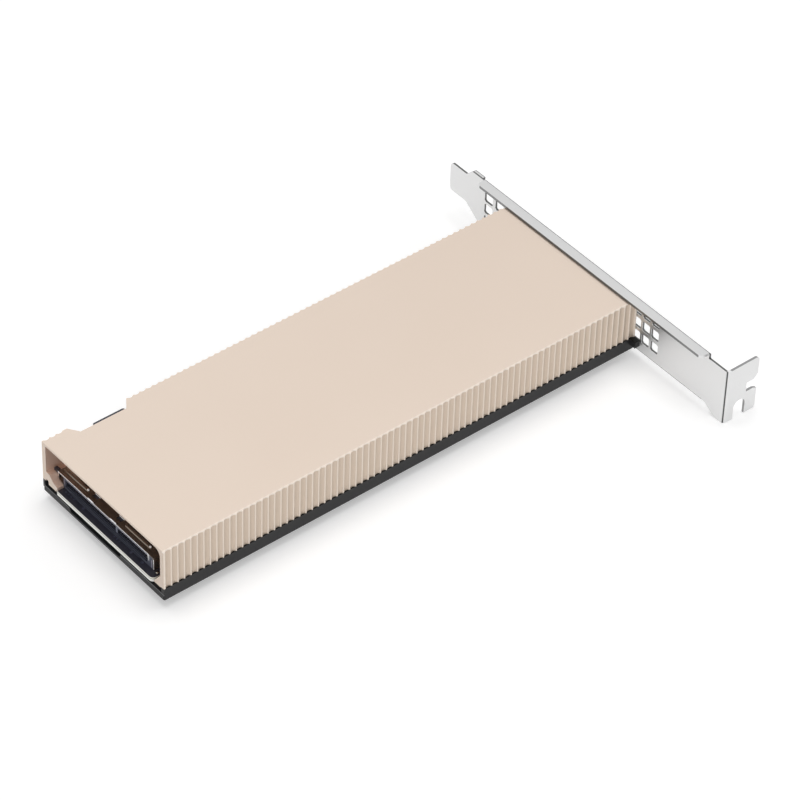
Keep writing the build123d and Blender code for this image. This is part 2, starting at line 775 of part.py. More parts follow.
housing_left = near + 6.4
housing_right = shell_right - 0.6
housing_bottom = board_top
housing_top = shell_top_level - shell_sheet
cavity_left = near + 7.2
cavity_right = near + 44.3
with BuildPart() as tail_housing:
    with Locations((shell_back + shell_sheet, housing_left, housing_bottom)):
        Box(
            shell_front - shell_back - shell_sheet,
            housing_right - housing_left,
            housing_top - housing_bottom,
            align=Align.MIN,
        )
    # Mating cavity, open at the tail end, with a key left standing in it
    with Locations((shell_front, (cavity_left + cavity_right) / 2, board_top + 2.1)):
        Box(
            cavity_depth,
            cavity_right - cavity_left,
            cavity_height,
            align=(Align.MAX, Align.CENTER, Align.CENTER),
            mode=Mode.SUBTRACT,
        )
    with Locations((shell_front - 0.4, near + 30.1, board_top + 2.1)):
        Box(cavity_depth - 0.4, 0.8, cavity_height, align=(Align.MAX, Align.CENTER, Align.CENTER))
    # Room for the shell's short tab at the far end
    with Locations((shell_front, near + 44.2, housing_top)):
        Box(1.2, 0.8, 2.2, align=(Align.MAX, Align.MIN, Align.MAX), mode=Mode.SUBTRACT)
    # Beak under the cavity that sits on the board in front of the shell
    with Locations((shell_front, (cavity_left + cavity_right) / 2, board_top)):
        Box(0.25, cavity_right - cavity_left - 6.0, 0.6, align=(Align.MIN, Align.CENTER, Align.MIN))
tail_housing.part.label = "tail_housing"
export_step(tail_housing.part, "parts/tail_housing.step")

tail_contact_places = [
    y for y in [cavity_left + 0.9 + tail_contact_pitch * i for i in range(45)]
    if abs(y - (near + 30.1)) > 0.8 and y < cavity_right - 0.6
]
for name, level in (
    ("tail_contacts_upper", board_top + 2.1 + cavity_height / 2 - 0.25),
    ("tail_contacts_lower", board_top + 2.1 - cavity_height / 2),
):
    with BuildPart() as tail_contacts:
        with Locations(*[(shell_front - 0.9, y, level) for y in tail_contact_places]):
            Box(cavity_depth - 0.9, 0.35, 0.25, align=(Align.MAX, Align.CENTER, Align.MIN))
    tail_contacts.part.label = name
    export_step(tail_contacts.part, f"parts/{name}.step")

# Network processor under its heat sink
with BuildPart() as network_chip:
    with Locations((*chip_centre, board_top)):
        Box(chip_side, chip_side, chip_height, align=(Align.CENTER, Align.CENTER, Align.MIN))
network_chip.part.label = "network_chip"
export_step(network_chip.part, "parts/network_chip.step")

with BuildPart() as chip_lid:
    with Locations((*chip_centre, board_top + chip_height)):
        Box(lid_side, lid_side, lid_height, align=(Align.CENTER, Align.CENTER, Align.MIN))
    chamfer(chip_lid.faces().sort_by(Axis.Z)[-1].edges(), 0.3)
chip_lid.part.label = "chip_lid"
export_step(chip_lid.part, "parts/chip_lid.step")

pad_level = board_top + chip_height + lid_height
with BuildPart() as thermal_pad:
    with Locations((*chip_centre, pad_level)):
        Box(lid_side - 3.0, lid_side - 3.0, pad_height, align=(Align.CENTER, Align.CENTER, Align.MIN))
thermal_pad.part.label = "thermal_pad"
export_step(thermal_pad.part, "parts/thermal_pad.step")

sink_level = pad_level + pad_height
fin_top = cover_top - cover_roof - fin_clearance
fin_count = int(sink_width // fin_pitch)
with BuildPart() as heat_sink:
    with Locations((*chip_centre, sink_level)):
        Box(sink_length, sink_width, sink_floor, align=(Align.CENTER, Align.CENTER, Align.MIN))
    with Locations((*chip_centre, sink_level)):
        with GridLocations(1.0, fin_pitch, 1, fin_count):
            Box(sink_length, fin_thickness, fin_top - sink_level, align=(Align.CENTER, Align.CENTER, Align.MIN))
    # Fins stand clear over the four corner feet that the screws reach
    with Locations(*[(x, y, board_top) for x, y in sink_screws]):
        Box(
            2 * post_radius - 0.4,
            2 * post_radius - 0.4,
            sink_level - board_top,
            align=(Align.CENTER, Align.CENTER, Align.MIN),
        )
    with BuildSketch(Plane.XY.offset(board_top)):
        with Locations(*sink_screws):
            RegularPolygon(screw_radius, 8)
    extrude(amount=sink_level - board_top + 1.5, mode=Mode.SUBTRACT)
heat_sink.part.label = "heat_sink"
export_step(heat_sink.part, "parts/heat_sink.step")

with BuildPart() as heat_sink_screws:
    with BuildSketch(Plane.XY.offset(board_bottom)):
        with Locations(*sink_screws):
            RegularPolygon(screw_radius - screw_play, 8)
    extrude(amount=board_thickness + 3.6)
    with BuildSketch(Plane.XY.offset(board_bottom - sink_screw_head)):
        with Locations(*sink_screws):
            RegularPolygon(2.0, 6)
    extrude(amount=sink_screw_head)
heat_sink_screws.part.label = "heat_sink_screws"
export_step(heat_sink_screws.part, "parts/heat_sink_screws.step")

# Smaller components on the board's upper face, at shares of the card's length from the bracket
component_groups = {
    "power_stages": (5.0, 6.0, 0.9, [(0.793, 10.4 + phase_pitch * i) for i in range(phase_count)]),
    "flash_memory": (8.0, 6.0, 1.6, [(0.334, 12.0), (0.334, 21.0)]),
    "management_controller": (9.0, 9.0, 1.0, [(0.322, 33.0)]),
    "clock_oscillator": (3.2, 2.5, 1.0, [(0.313, 43.5)]),
}
for name, (length, width, height, places) in component_groups.items():
    with BuildPart() as component:
        with Locations(*[(bracket_face + share * card_length, near + y, board_top) for share, y in places]):
            Box(length, width, height, align=(Align.CENTER, Align.CENTER, Align.MIN))
    component.part.label = name
    export_step(component.part, f"parts/{name}.step")

with BuildPart() as power_inductors:
    inductor_x = bracket_face + 0.841 * card_length
    with Locations(*[(inductor_x, near + 12.0 + phase_pitch * i, board_top) for i in range(phase_count)]):
        Box(inductor_side, inductor_side, inductor_height, align=(Align.CENTER, Align.CENTER, Align.MIN))
power_inductors.part.label = "power_inductors"
export_step(power_inductors.part, "parts/power_inductors.step")

capacitor_x = bracket_face + 0.889 * card_length
capacitor_places = [(capacitor_x, near + 15.0 + phase_pitch * i) for i in range(phase_count - 1)]
with BuildPart() as polymer_capacitors:
    with Locations(*[(x, y, board_top) for x, y in capacitor_places]):
        Box(2 * can_radius + 0.4, 2 * can_radius + 0.4, 0.6, align=(Align.CENTER, Align.CENTER, Align.MIN))
    with BuildSketch(Plane.XY.offset(board_top)):
        with Locations(*capacitor_places):
            RegularPolygon(can_radius, round_sides)
    extrude(amount=can_height)
polymer_capacitors.part.label = "polymer_capacitors"
export_step(polymer_capacitors.part, "parts/polymer_capacitors.step")

with BuildPart() as ceramic_capacitors:
    near_row = (bracket_face + 0.567 * card_length, near + skirt_width + 1.0, board_top)
    far_row = (bracket_face + 0.626 * card_length, far - far_skirt_width - 2.2, board_top)
    with Locations(near_row, far_row):
        with GridLocations(3.8, 1.0, 12, 1):
            Box(1.6, 0.8, 0.8, align=(Align.CENTER, Align.CENTER, Align.MIN))
ceramic_capacitors.part.label = "ceramic_capacitors"
export_step(ceramic_capacitors.part, "parts/ceramic_capacitors.step")

# Insulating film over the base plate's floor, with holes round the bosses
with BuildPart() as insulating_film:
    with BuildSketch(Plane.XY.offset(base_floor)):
        with Locations((0, (near + base_near_wall + far - base_wall) / 2)):
            Rectangle(card_length - 8.0, cover_width - base_near_wall - base_wall - 1.0)
        with Locations(*cover_screws):
            Rectangle(2 * post_radius + 2.0, 2 * post_radius + 2.0, mode=Mode.SUBTRACT)
        with Locations(*[(bracket_face + ear_hole, y) for y in ear_places]):
            Rectangle(ear_length + 2.0, ear_width + 2.0, mode=Mode.SUBTRACT)
    extrude(amount=0.2)
insulating_film.part.label = "insulating_film"
export_step(insulating_film.part, "parts/insulating_film.step")

# Countersunk screws from below: six hold base plate, board and cover together, two hold the bracket's ears
with BuildPart() as cover_screw_set:
    with BuildSketch():
        with Locations(*cover_screws):
            RegularPolygon(screw_head_radius - screw_play, round_sides)
    extrude(amount=head_depth, taper=45)
    with BuildSketch():
        with Locations(*cover_screws):
            RegularPolygon(screw_radius - screw_play, round_sides)
    extrude(amount=screw_length)
    with BuildSketch():
        with Locations(*cover_screws):
            RegularPolygon(driver_radius, 6)
    extrude(amount=driver_depth, mode=Mode.SUBTRACT)
cover_screw_set.part.label = "cover_screws"
export_step(cover_screw_set.part, "parts/cover_screws.step")

with BuildPart() as ear_screw_set:
    with BuildSketch(Plane.XY.offset(bracket_bottom)):
        with Locations(*[(bracket_face + ear_hole, y) for y in ear_places]):
            RegularPolygon(ear_head_radius - screw_play, round_sides)
    extrude(amount=sheet, taper=45)
    with BuildSketch(Plane.XY.offset(bracket_bottom)):
        with Locations(*[(bracket_face + ear_hole, y) for y in ear_places]):
            RegularPolygon(screw_radius - screw_play, round_sides)
    extrude(amount=board_bottom - bracket_bottom)
    with BuildSketch(Plane.XY.offset(bracket_bottom)):
        with Locations(*[(bracket_face + ear_hole, y) for y in ear_places]):
            RegularPolygon(driver_radius, 6)
    extrude(amount=driver_depth, mode=Mode.SUBTRACT)
ear_screw_set.part.label = "ear_screws"
export_step(ear_screw_set.part, "parts/ear_screws.step")
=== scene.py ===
import math

import bmesh
import bpy
from mathutils import Matrix, Vector


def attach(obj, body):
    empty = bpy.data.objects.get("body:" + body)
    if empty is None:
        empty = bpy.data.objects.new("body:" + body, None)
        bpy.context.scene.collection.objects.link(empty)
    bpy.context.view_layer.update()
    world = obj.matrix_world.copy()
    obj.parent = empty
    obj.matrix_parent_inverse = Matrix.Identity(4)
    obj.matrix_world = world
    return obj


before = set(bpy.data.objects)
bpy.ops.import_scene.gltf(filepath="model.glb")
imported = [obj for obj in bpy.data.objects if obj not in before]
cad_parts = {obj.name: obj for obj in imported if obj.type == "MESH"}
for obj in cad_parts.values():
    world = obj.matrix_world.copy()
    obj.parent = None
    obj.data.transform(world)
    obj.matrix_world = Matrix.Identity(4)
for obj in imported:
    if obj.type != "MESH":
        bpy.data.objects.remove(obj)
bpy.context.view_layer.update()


# Camera
# A long lens far from the card, over its far tail corner, as the photograph
# was taken. The card lies on its back plate, with the bracket at the back.
camera_place = Vector((0.533673, 0.642922, 0.757459))
to_right = Vector((-0.77291676, 0.63395417, 0.02649135))
to_up = Vector((-0.40876126, -0.52942585, 0.74338584))
to_back = Vector((0.48529775, 0.56374674, 0.66833802))
camera_data = bpy.data.cameras.new("camera")
camera_data.lens = 181.65
camera_data.sensor_width = 36.0
camera_data.clip_start = 0.05
camera_data.clip_end = 50.0
camera = bpy.data.objects.new("camera", camera_data)
bpy.context.collection.objects.link(camera)
camera_turn = Matrix((to_right, to_up, to_back)).transposed()
camera.matrix_world = Matrix.Translation(camera_place) @ camera_turn.to_4x4()
bpy.context.scene.camera = camera
bpy.context.scene.view_settings.view_transform = "Standard"


# Studio
# A white sheet of paper just under the card's lowest edge, a plain pale world,
# and three soft lamps: overhead, behind the bracket and beyond the tail.
floor_level = -0.00306
floor_half_side = 6.0
paper_colour = (0.82, 0.82, 0.82)
paper_lift = 0.33
world_light, world_seen = 0.46, 1.0

floor_mesh = bpy.data.meshes.new("floor")
floor_form = bmesh.new()
bmesh.ops.create_grid(floor_form, x_segments=1, y_segments=1, size=floor_half_side)
for corner in floor_form.verts:
    corner.co.z = floor_level
floor_form.to_mesh(floor_mesh)
floor_form.free()
floor = bpy.data.objects.new("floor", floor_mesh)
bpy.context.collection.objects.link(floor)


def seen_directly(tree):
    """1 for the camera's own rays and for what shows in metal or through glass."""
    ray = tree.nodes.new("ShaderNodeLightPath")
    first = tree.nodes.new("ShaderNodeMath")
    first.operation = "MAXIMUM"
    second = tree.nodes.new("ShaderNodeMath")
    second.operation = "MAXIMUM"
    tree.links.new(ray.outputs["Is Camera Ray"], first.inputs[0])
    tree.links.new(ray.outputs["Is Glossy Ray"], first.inputs[1])
    tree.links.new(first.outputs[0], second.inputs[0])
    tree.links.new(ray.outputs["Is Transmission Ray"], second.inputs[1])
    return second


paper = bpy.data.materials.new("white_paper")
paper.use_nodes = True
tree = paper.node_tree
tree.nodes.clear()
paper_out = tree.nodes.new("ShaderNodeOutputMaterial")
paper_sum = tree.nodes.new("ShaderNodeAddShader")
paper_face = tree.nodes.new("ShaderNodeBsdfDiffuse")
paper_face.inputs["Color"].default_value = (*paper_colour, 1)
paper_glow = tree.nodes.new("ShaderNodeEmission")
ray_lift = tree.nodes.new("ShaderNodeMath")
ray_lift.operation = "MULTIPLY"
ray_lift.inputs[1].default_value = paper_lift
tree.links.new(seen_directly(tree).outputs[0], ray_lift.inputs[0])
tree.links.new(ray_lift.outputs[0], paper_glow.inputs["Strength"])
tree.links.new(paper_face.outputs[0], paper_sum.inputs[0])
tree.links.new(paper_glow.outputs[0], paper_sum.inputs[1])
tree.links.new(paper_sum.outputs[0], paper_out.inputs["Surface"])
floor.data.materials.append(paper)

world = bpy.data.worlds.new("studio")
bpy.context.scene.world = world
world.use_nodes = True
tree = world.node_tree
tree.nodes.clear()
world_out = tree.nodes.new("ShaderNodeOutputWorld")
world_pick = tree.nodes.new("ShaderNodeMixShader")
tree.links.new(seen_directly(tree).outputs[0], world_pick.inputs["Fac"])
for socket, strength in ((1, world_light), (2, world_seen)):
    sky = tree.nodes.new("ShaderNodeBackground")
    sky.inputs["Color"].default_value = (1.0, 1.0, 1.0, 1)
    sky.inputs["Strength"].default_value = strength
    tree.links.new(sky.outputs[0], world_pick.inputs[socket])
tree.links.new(world_pick.outputs[0], world_out.inputs["Surface"])

for name, place, size, power in (
    ("overhead_lamp", Vector((-0.05, -0.12, 1.25)), 0.9, 6.6),
    ("bracket_lamp", Vector((-1.1, 0.3, 0.7)), 0.6, 1.0),
    ("tail_lamp", Vector((1.15, 0.62, 0.42)), 0.5, 2.8),
):
    lamp_data = bpy.data.lights.new(name, "AREA")
    lamp_data.shape = "SQUARE"
    lamp_data.size = size
    lamp_data.energy = power
    lamp = bpy.data.objects.new(name, lamp_data)
    bpy.context.collection.objects.link(lamp)
    lamp.location = place
    lamp.rotation_euler = (-place).to_track_quat("-Z", "Y").to_euler()


# Back plate
# The plate under the board: milled aluminium with low walls, anodised black.
# It shows as a ledge in the flutes, painted near black there as painted shade,
# and as the rim of the open tail, with painted shade on its front face and
# painted highlights on its edges.
near_side, far_side = -0.0274, 0.0274
bracket_face, tail_end = -0.083825, 0.083825
rim_height, ledge_height, plate_wall = 0.0020, 0.00415, 0.0013


def fine_grain_group():
    """Blasted or moulded grain and a slow drift, both as masks."""
    group = bpy.data.node_groups.new("fine_grain", "ShaderNodeTree")
    for name, in_out in (
        ("Grain Scale", "INPUT"),
        ("Drift Scale", "INPUT"),
        ("Grain", "OUTPUT"),
        ("Drift", "OUTPUT"),
    ):
        group.interface.new_socket(name, in_out=in_out, socket_type="NodeSocketFloat")
    enter = group.nodes.new("NodeGroupInput")
    leave = group.nodes.new("NodeGroupOutput")
    where = group.nodes.new("ShaderNodeTexCoord")
    for name, detail in (("Grain", 3.0), ("Drift", 2.0)):
        noise = group.nodes.new("ShaderNodeTexNoise")
        noise.inputs["Detail"].default_value = detail
        group.links.new(where.outputs["Object"], noise.inputs["Vector"])
        group.links.new(enter.outputs[name + " Scale"], noise.inputs["Scale"])
        group.links.new(noise.outputs["Fac"], leave.inputs[name])
    return group


fine_grain = fine_grain_group()


def grained_finish(name, metallic, tones, scales, drift_share, bump, rough_span):
    """Two close tones mixed by grain and drift, which also set gloss and a shallow bump."""
    finish = bpy.data.materials.new(name)
    finish.use_nodes = True
    tree = finish.node_tree
    shader = tree.nodes["Principled BSDF"]
    shader.inputs["Metallic"].default_value = metallic
    grain = tree.nodes.new("ShaderNodeGroup")
    grain.node_tree = fine_grain
    grain.inputs["Grain Scale"].default_value = scales[0]
    grain.inputs["Drift Scale"].default_value = scales[1]
    blend = tree.nodes.new("ShaderNodeMix")
    blend.inputs[0].default_value = drift_share
    tree.links.new(grain.outputs["Grain"], blend.inputs[2])
    tree.links.new(grain.outputs["Drift"], blend.inputs[3])
    colour = tree.nodes.new("ShaderNodeMix")
    colour.data_type = "RGBA"
    colour.inputs[6].default_value = (*tones[0], 1)
    colour.inputs[7].default_value = (*tones[1], 1)
    tree.links.new(blend.outputs[0], colour.inputs[0])
    tree.links.new(colour.outputs[2], shader.inputs["Base Color"])
    relief = tree.nodes.new("ShaderNodeBump")
    relief.inputs["Strength"].default_value = 0.25
    relief.inputs["Distance"].default_value = bump
    tree.links.new(grain.outputs["Grain"], relief.inputs["Height"])
    tree.links.new(relief.outputs["Normal"], shader.inputs["Normal"])
    gloss = tree.nodes.new("ShaderNodeMapRange")
    gloss.inputs["To Min"].default_value = rough_span[0]
    gloss.inputs["To Max"].default_value = rough_span[1]
    tree.links.new(blend.outputs[0], gloss.inputs["Value"])
    tree.links.new(gloss.outputs["Result"], shader.inputs["Roughness"])
    return finish


def set_plain(finish, socket, value):
    """A value that is the same all over goes on the shader's own socket."""
    finish.node_tree.nodes["Principled BSDF"].inputs[socket].default_value = value


def crossing(finish, first, second):
    """1 only where both masks are 1."""
    both = finish.node_tree.nodes.new("ShaderNodeMath")
    both.operation = "MULTIPLY"
    finish.node_tree.links.new(first, both.inputs[0])
    finish.node_tree.links.new(second, both.inputs[1])
    return both.outputs[0]


def band(finish, axis, low, high, soft):
    """1 where the object coordinate on an axis lies between two values, in metres."""
    tree = finish.node_tree
    where = tree.nodes.new("ShaderNodeTexCoord")
    split = tree.nodes.new("ShaderNodeSeparateXYZ")
    tree.links.new(where.outputs["Object"], split.inputs[0])
    ends = []
    for place, before, after in ((low, 0.0, 1.0), (high, 1.0, 0.0)):
        end = tree.nodes.new("ShaderNodeMapRange")
        end.inputs["From Min"].default_value = place - soft
        end.inputs["From Max"].default_value = place + soft
        end.inputs["To Min"].default_value = before
        end.inputs["To Max"].default_value = after
        tree.links.new(split.outputs[axis], end.inputs["Value"])
        ends.append(end.outputs["Result"])
    return crossing(finish, *ends)


def tint(finish, mask, colour):
    """Lay a second colour over whatever feeds Base Color, by a mask."""
    tree = finish.node_tree
    base = tree.nodes["Principled BSDF"].inputs["Base Color"]
    under = base.links[0].from_socket
    lay = tree.nodes.new("ShaderNodeMix")
    lay.data_type = "RGBA"
    lay.inputs[7].default_value = (*colour, 1)
    tree.links.new(mask, lay.inputs[0])
    tree.links.new(under, lay.inputs[6])
    tree.links.new(lay.outputs[2], base)


def dress(finish, *names):
    """Give every material slot of these CAD nodes this finish."""
    for name in names:
        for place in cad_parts[name].material_slots:
            place.material = finish


plate_finish = grained_finish(
    "black_anodised_plate", metallic=0.0, tones=((0.020, 0.020, 0.021), (0.032, 0.032, 0.034)),
    scales=(4200.0, 30.0), drift_share=0.4, bump=0.00001, rough_span=(0.30, 0.42),
)
set_plain(plate_finish, "Specular IOR Level", 0.2)
# The plate's tail face is painted near black, darker than the rest: painted shade.
rim_front = band(plate_finish, "X", tail_end - 0.00010, tail_end + 0.001, 0.00003)
tint(plate_finish, rim_front, (0.010, 0.010, 0.010))
# A lighter line where the tail face meets the rim's top: a painted highlight.
rim_top = band(plate_finish, "Z", rim_height - 0.0002, rim_height + 0.00005, 0.00002)
tint(plate_finish, crossing(plate_finish, rim_front, rim_top), (0.16, 0.16, 0.17))
# The ledge under the far flutes is painted near black: painted shade under the cover.
ledge_top = band(plate_finish, "Z", ledge_height - 0.00004, ledge_height + 0.00015, 0.00001)
ledge_span = band(plate_finish, "Y", far_side - plate_wall - 0.0001, 0.04, 0.00002)
tint(plate_finish, crossing(plate_finish, ledge_top, ledge_span), (0.003, 0.003, 0.003))
# A lighter line along the plate's foot: a painted highlight on its lower edge.
foot_line = band(plate_finish, "Z", 0.00004, 0.00020, 0.00003)
tint(plate_finish, foot_line, (0.075, 0.075, 0.080))
dress(plate_finish, "base_plate")


# Insulating film
# A black film keeps the board's solder points off the back plate. It lies
# loose in the plate, cut away round the screw pads.
film_finish = grained_finish(
    "insulating_film", metallic=0.0, tones=((0.016, 0.016, 0.016), (0.030, 0.030, 0.030)),
    scales=(2000.0, 100.0), drift_share=0.5, bump=0.00001, rough_span=(0.48, 0.64),
)
dress(film_finish, "insulating_film")


# Circuit board
# Epoxy glass laminate under a dark blue solder mask. Its cut edges are bare and
# cream, with a copper layer as a fine line. Ringed vias stand by the contacts.
board_bottom, board_top = 0.00258, 0.00415
copper_low, copper_high = 0.00350, 0.00364
board_finish = grained_finish(
    "dark_blue_board", metallic=0.0, tones=((0.024, 0.024, 0.037), (0.040, 0.040, 0.058)),
    scales=(900.0, 160.0), drift_share=0.5, bump=0.00001, rough_span=(0.28, 0.42),
)
edge_low, edge_high = board_bottom + 0.00004, board_top - 0.00004
for low, high, soft, colour in (
    (edge_low, edge_high, 0.00002, (0.86, 0.85, 0.77)),
    (edge_low, copper_low - 0.00004, 0.00003, (0.93, 0.93, 0.89)),
    (copper_low, copper_high, 0.00003, (0.30, 0.30, 0.22)),
):
    tint(board_finish, band(board_finish, "Z", low, high, soft), colour)
dress(board_finish, "circuit_board")


def unit_from(form, name):
    """A loose object to be copied in rows."""
    mesh = bpy.data.meshes.new(name)
    form.to_mesh(mesh)
    form.free()
    unit = bpy.data.objects.new(name, mesh)
    bpy.context.collection.objects.link(unit)
    return unit


def bar_unit(size, rounding):
    """A small bar with rounded edges, centred on the origin."""
    form = bmesh.new()
    bmesh.ops.create_cube(form, size=1.0)
    bmesh.ops.scale(form, vec=size, verts=form.verts)
    bmesh.ops.bevel(form, geom=form.edges[:], offset=rounding, segments=1, affect="EDGES")
    return unit_from(form, "bar_unit")


def ring_unit(hole, rim, height, sides):
    """A low ring with a sunk middle, such as a plated hole, centred on the origin."""
    form = bmesh.new()
    loops = []
    for radius, level in ((rim, 0.0), (rim, height), (hole, height), (hole * 0.8, height * 0.3)):
        turns = [2 * math.pi * i / sides for i in range(sides)]
        loops.append(
            [form.verts.new((radius * math.cos(a), radius * math.sin(a), level)) for a in turns]
        )
    for lower, upper in zip(loops, loops[1:]):
        for i in range(sides):
            form.faces.new((lower[i], lower[i - sides + 1], upper[i - sides + 1], upper[i]))
    form.faces.new(loops[-1])
    form.faces.new(list(reversed(loops[0])))
    bmesh.ops.recalc_face_normals(form, faces=form.faces)
    return unit_from(form, "ring_unit")


def even_row_group():
    """Copies of a unit at even steps in a line, as real faces with one finish."""
    group = bpy.data.node_groups.new("even_row", "GeometryNodeTree")
    for name, kind in (
        ("Start", "NodeSocketVector"),
        ("Step", "NodeSocketVector"),
        ("Count", "NodeSocketInt"),
        ("Unit", "NodeSocketObject"),
        ("Finish", "NodeSocketMaterial"),
    ):
        group.interface.new_socket(name, in_out="INPUT", socket_type=kind)
    group.interface.new_socket("Row", in_out="OUTPUT", socket_type="NodeSocketGeometry")
    enter = group.nodes.new("NodeGroupInput")
    leave = group.nodes.new("NodeGroupOutput")
    line = group.nodes.new("GeometryNodeMeshLine")
    unit = group.nodes.new("GeometryNodeObjectInfo")
    copies = group.nodes.new("GeometryNodeInstanceOnPoints")
    real = group.nodes.new("GeometryNodeRealizeInstances")
    coat = group.nodes.new("GeometryNodeSetMaterial")
    group.links.new(enter.outputs["Count"], line.inputs["Count"])
    group.links.new(enter.outputs["Start"], line.inputs["Start Location"])
    group.links.new(enter.outputs["Step"], line.inputs["Offset"])
    group.links.new(enter.outputs["Unit"], unit.inputs["Object"])
    group.links.new(line.outputs["Mesh"], copies.inputs["Points"])
    group.links.new(unit.outputs["Geometry"], copies.inputs["Instance"])
    group.links.new(copies.outputs["Instances"], real.inputs["Geometry"])
    group.links.new(real.outputs["Geometry"], coat.inputs["Geometry"])
    group.links.new(enter.outputs["Finish"], coat.inputs["Material"])
    group.links.new(coat.outputs["Geometry"], leave.inputs["Row"])
    return group


even_row = even_row_group()


def settle(name, form, finish, smooth=False):
    """Turn finished mesh work into a piece of the card, with its finish."""
    mesh = bpy.data.meshes.new(name)
    form.to_mesh(mesh)
    form.free()
    mesh.materials.clear()
    mesh.materials.append(finish)
    if smooth:
        mesh.shade_smooth()
    piece = bpy.data.objects.new(name, mesh)
    bpy.context.collection.objects.link(piece)
    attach(piece, "root")


def settle_rows(name, unit, rows, finish):
    """One piece of evenly spaced copies: each row is its start, its step and its count."""
    form = bmesh.new()
    for start, step, count in rows:
        carrier = bpy.data.objects.new("row_carrier", bpy.data.meshes.new("row_carrier"))
        bpy.context.collection.objects.link(carrier)
        row = carrier.modifiers.new("row", "NODES")
        row.node_group = even_row
        chosen = {"Start": start, "Step": step, "Count": count, "Unit": unit, "Finish": finish}
        for socket in even_row.interface.items_tree:
            if socket.name in chosen:
                row[socket.identifier] = chosen[socket.name]
        seen = carrier.evaluated_get(bpy.context.evaluated_depsgraph_get())
        row_mesh = bpy.data.meshes.new_from_object(seen)
        carrier.modifiers.remove(row)
        bpy.data.objects.remove(carrier)
        form.from_mesh(row_mesh)
        bpy.data.meshes.remove(row_mesh)
    for face in form.faces:
        face.material_index = 0
    bpy.data.objects.remove(unit)
    settle(name, form, finish)


via_finish = grained_finish(
    "via_copper_under_mask", metallic=0.0, tones=((0.050, 0.052, 0.085), (0.085, 0.088, 0.130)),
    scales=(2600.0, 300.0), drift_share=0.5, bump=0.000004, rough_span=(0.24, 0.36),
)
settle_rows(
    "board_vias",
    ring_unit(hole=0.00014, rim=0.00030, height=0.00003, sides=12),
    [
        ((-0.0360, -0.0299, board_top), (0.0020, 0, 0), 40),
        ((-0.0350, -0.0287, board_top), (0.0030, 0, 0), 26),
        ((-0.0800, -0.0296, board_top), (0.0045, 0, 0), 9),
        ((0.0822, -0.0190, board_top), (0, 0.0012, 0), 4),
        ((0.0822, 0.0030, board_top), (0, 0.0012, 0), 3),
    ],
    via_finish,
)


# Slot contacts
# Rows of gold plated pads on both faces of the slot tongue. A short neck leads
# from each pad to the board's tracks.
key_x = bracket_face + 0.05715
contact_pitch, first_from_key = 0.001, 0.0015
contacts_before_key, contacts_after_key = 11, 71
neck_y = -0.0318
gold_finish = grained_finish(
    "contact_gold", metallic=1.0, tones=((0.72, 0.49, 0.20), (0.86, 0.64, 0.30)),
    scales=(2600.0, 300.0), drift_share=0.5, bump=0.000005, rough_span=(0.16, 0.30),
)
dress(gold_finish, "slot_contacts_component_side", "slot_contacts_solder_side")
neck_rows = []
for level in (board_top, board_bottom):
    for way, count in ((-1, contacts_before_key), (1, contacts_after_key)):
        start = (key_x + way * first_from_key, neck_y, level)
        neck_rows.append((start, (way * contact_pitch, 0, 0), count))
neck = bar_unit((0.00022, 0.0016, 0.00003), rounding=0.00001)
settle_rows("contact_necks", neck, neck_rows, via_finish)


# Tail connector
# A shell of bright rolled steel over a dark housing, soldered to the board's
# narrow tail. It has two pressed ribs, latch windows and a sprung near end.
shell_front, shell_top = 0.081525, 0.0084
# The steel's colour is a dark brown: painted reflection of the cover's brown roof and painted shade
# under it.
shell_finish = grained_finish(
    "rolled_steel_painted_reflection", metallic=0.85, tones=((0.20, 0.165, 0.135), (0.31, 0.262, 0.22)),
    scales=(1800.0, 60.0), drift_share=0.5, bump=0.000004, rough_span=(0.18, 0.30),
)
# The shell's front edge is painted near white: a painted highlight.
front_edge = band(shell_finish, "X", shell_front - 0.00006, shell_front + 0.001, 0.00002)
front_span = band(shell_finish, "Y", -0.03, 0.0174, 0.0001)
tint(shell_finish, crossing(shell_finish, front_edge, front_span), (0.93, 0.93, 0.95))
# A grey-blue band on the side wall's front edge: a painted highlight in place of the painted brown
# reflection.
wall_edge = band(shell_finish, "X", shell_front - 0.00066, shell_front - 0.00054, 0.00002)
wall_height = band(shell_finish, "Z", 0.0, shell_top - 0.0004, 0.0001)
tint(shell_finish, crossing(shell_finish, wall_edge, wall_height), (0.20, 0.20, 0.24))
dress(shell_finish, "tail_shell")

housing_finish = grained_finish(
    "dark_housing_plastic", metallic=0.0, tones=((0.036, 0.038, 0.056), (0.054, 0.057, 0.080)),
    scales=(3800.0, 90.0), drift_share=0.5, bump=0.00001, rough_span=(0.36, 0.52),
)
# The housing's front face is painted lighter than its body, and the key's front edge lighter still:
# painted light on the lit front and painted shade in the cavity, on one plastic.
housing_front = band(housing_finish, "X", shell_front - 0.00005, shell_front + 0.0001, 0.00002)
tint(housing_finish, housing_front, (0.085, 0.090, 0.120))
key_front = band(housing_finish, "X", shell_front - 0.00044, shell_front - 0.00036, 0.00002)
tint(housing_finish, key_front, (0.22, 0.235, 0.29))
dress(housing_finish, "tail_housing")

tail_contact_finish = grained_finish(
    "dull_contact_plating", metallic=0.9, tones=((0.20, 0.19, 0.24), (0.34, 0.32, 0.36)),
    scales=(2600.0, 300.0), drift_share=0.5, bump=0.000005, rough_span=(0.24, 0.38),
)
dress(tail_contact_finish, "tail_contacts_upper", "tail_contacts_lower")

# A near white finish for small pieces that stand for bright lines and dots on the shell: painted
# highlights.
shell_highlight_finish = grained_finish(
    "shell_edge_painted_highlight", metallic=0.35, tones=((0.88, 0.88, 0.90), (0.96, 0.96, 0.97)),
    scales=(1500.0, 200.0), drift_share=0.5, bump=0.000002, rough_span=(0.12, 0.22),
)


